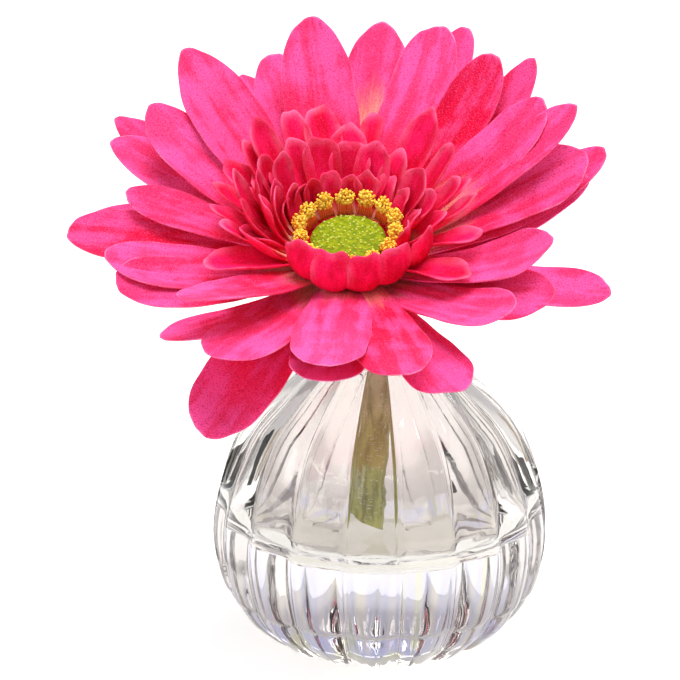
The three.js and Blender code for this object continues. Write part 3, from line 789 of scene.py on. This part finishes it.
for ring, root in ((OUTER_RING, OUTER_ROOT), (MIDDLE_RING, MIDDLE_ROOT)):
    for values in ring:
        add_short_petal(values, dice.choice(SHORT_BARE_ROOTS), root, SHORT_SHAPE)
for values in INNER_RING:
    add_short_petal(values, DYED_ROOT, INNER_ROOT, SHORT_SHAPE)
for values in FRONT_CUPS:
    add_short_petal(values, 0, FRONT_ROOT, FRONT_SHAPE)
bmesh.ops.transform(builder, matrix=BLOOM, verts=builder.verts)
piece = cloth_piece("short_petal_rings", builder, short_fabric)
stands_for(piece, "short_petals")


# ---------------------------------------------------------------------------------------------
# Stamens: bundles of orange filaments, each tipped with a clump of yellow flocked grains. They
# stand in a ring between the short petals and the seed dome, and the front ones hang lower.

CENTRE_SHIFT = Matrix.Translation((0.8, 0, 0))     # the centre sits a little to the right
STAMENS = 14
STAMEN_TURN = math.radians(16)
HEAD_RING = 10.8
HEAD_HEIGHT = 9.2
HEAD_DIP = 2.2                     # how much lower the front heads hang
HEAD_RADIUS = 2.5
HEAD_FLATNESS = 0.8
GRAINS = 150
GRAIN_RADIUS = 0.32
GRAIN_INSET = 0.3
FILAMENTS = 7
FILAMENT_GAP = 0.45
FILAMENT_SPREAD = 1.2              # how much wider apart they are at the foot
FILAMENT_RING = 9.4
FILAMENT_FOOT = 5.5
FILAMENT_RADII = (0.24, 0.2)
FILAMENT_SINK = (-0.2, -0.6)       # where they end in the head: outwards and up
ORANGE_TOP = 7.3                   # heights in the bloom's frame where orange turns to yellow
YELLOW_FROM = 8.7

dice = random.Random(5)
clump = bpy.data.meshes.new("clump")
builder = bmesh.new()
for i in range(STAMENS):
    angle = STAMEN_TURN + 2 * math.pi * i / STAMENS
    turn = CENTRE_SHIFT @ Matrix.Rotation(angle, 4, "Z")
    head = Vector((HEAD_RING, 0, HEAD_HEIGHT - HEAD_DIP * max(0, -math.sin(angle))))
    stamen = bmesh.new()
    for _ in range(GRAINS):
        spread = Vector([dice.gauss(0, 1) for _ in range(3)]).normalized()
        spread *= dice.uniform(0.5, 1)
        spread.x *= HEAD_FLATNESS
        spot = head + spread * (HEAD_RADIUS - GRAIN_INSET)
        bmesh.ops.create_icosphere(
            stamen, subdivisions=1, radius=GRAIN_RADIUS * dice.uniform(0.7, 1.2),
            matrix=Matrix.Translation(spot))
    for k in range(FILAMENTS):
        offset = (k - (FILAMENTS - 1) / 2) * FILAMENT_GAP
        foot = Vector((FILAMENT_RING, offset * FILAMENT_SPREAD, FILAMENT_FOOT))
        tip = head + Vector((FILAMENT_SINK[0], offset, FILAMENT_SINK[1]))
        lean = (tip - foot).to_track_quat("Z", "Y").to_matrix().to_4x4()
        bmesh.ops.create_cone(
            stamen, cap_ends=True, segments=7, radius1=FILAMENT_RADII[0],
            radius2=FILAMENT_RADII[1], depth=(tip - foot).length,
            matrix=Matrix.Translation((foot + tip) / 2) @ lean)
    bmesh.ops.transform(stamen, matrix=BLOOM @ turn, verts=stamen.verts)
    stamen.to_mesh(clump)
    stamen.free()
    builder.from_mesh(clump)
bpy.data.meshes.remove(clump)

material, shade = new_material("stamen_fibre")
place = shade.place()
rise = place.node("VectorMath", {"operation": "DOT_PRODUCT"}, {0: place, 1: bloom_axis}, "Value")
rise = (rise - (BLOOM_CENTRE * MM).dot(bloom_axis)) * (1 / MM)
# The grains' yellow is mottled from a shaded deep yellow to a pale highlight: painted shade and
# light.
yellow_with_painted_light = place.noise(1800.0, 2.0).between(0.35, 0.65).mixed(rgba("ffca0c"), rgba("fff46c"))
colour = rise.between(ORANGE_TOP, YELLOW_FROM).mixed(rgba("ff7428"), yellow_with_painted_light)
finish_material(shade.node("BsdfPrincipled", {}, {"Base Color": colour, "Roughness": 0.7}))
piece = new_piece("stamen_clumps", builder, material)
stands_for(piece, "stamens")


# ---------------------------------------------------------------------------------------------
# Seed dome: a low moulded disc of yellow-green plastic, set all over with small glossy beads
# and glued in the middle of the bloom.

DOME_RADIUS = 8.4
DOME_FOOT = 5.2
DOME_SECTION = ((DOME_RADIUS, DOME_FOOT), (DOME_RADIUS, 5.7), (8.1, 6.2), (7.1, 6.7),
                (5.2, 7.2), (2.9, 7.5), (0, 7.6))
DOME_SHOULDER = 5.7
DOME_RISE = 1.9
BEADS = 120
BEAD_RADIUS = 0.32
BEAD_RING = 7.9                    # the radius that the outermost beads keep to
GOLDEN_TURN = math.pi * (3 - math.sqrt(5))

builder = bmesh.new()
section = [Vector((0, DOME_FOOT))] + smooth_through(DOME_SECTION, 3)
spin_section(builder, [(0, -point.x, point.y) for point in section], TURNED_STEPS)
close_poles(builder, 1e-3)
bead_mark = builder.verts.layers.float.new("bead")
for i in range(BEADS):
    radius = BEAD_RING * math.sqrt((i + dice.random()) / BEADS)
    height = DOME_SHOULDER + DOME_RISE * math.sqrt(1 - (radius / DOME_RADIUS) ** 2)
    turn = i * GOLDEN_TURN + dice.uniform(-0.25, 0.25)
    spot = Vector((radius * math.cos(turn), radius * math.sin(turn), height))
    made = bmesh.ops.create_uvsphere(
        builder, u_segments=8, v_segments=6, radius=BEAD_RADIUS * dice.uniform(0.8, 1.3),
        matrix=Matrix.Translation(spot))
    for vert in made["verts"]:
        vert[bead_mark] = 1
bmesh.ops.transform(builder, matrix=BLOOM @ CENTRE_SHIFT, verts=builder.verts)

material, shade = new_material("seed_plastic")
place = shade.place()
bead = shade.node("Attribute", {"attribute_name": "bead"}, {}, "Fac")
ground = place.noise(900.0, 3.0).between(0.35, 0.65).mixed(rgba("6e8400"), rgba("98a600"))
colour = (bead * 0.55).mixed(ground, rgba("dfee68"))
finish_material(shade.node("BsdfPrincipled", {}, {
    "Base Color": colour, "Roughness": 0.75 - bead * 0.6, "Specular IOR Level": 0.2}))
piece = new_piece("seed_beads", builder, material)
stands_for(piece, "seed_dome")
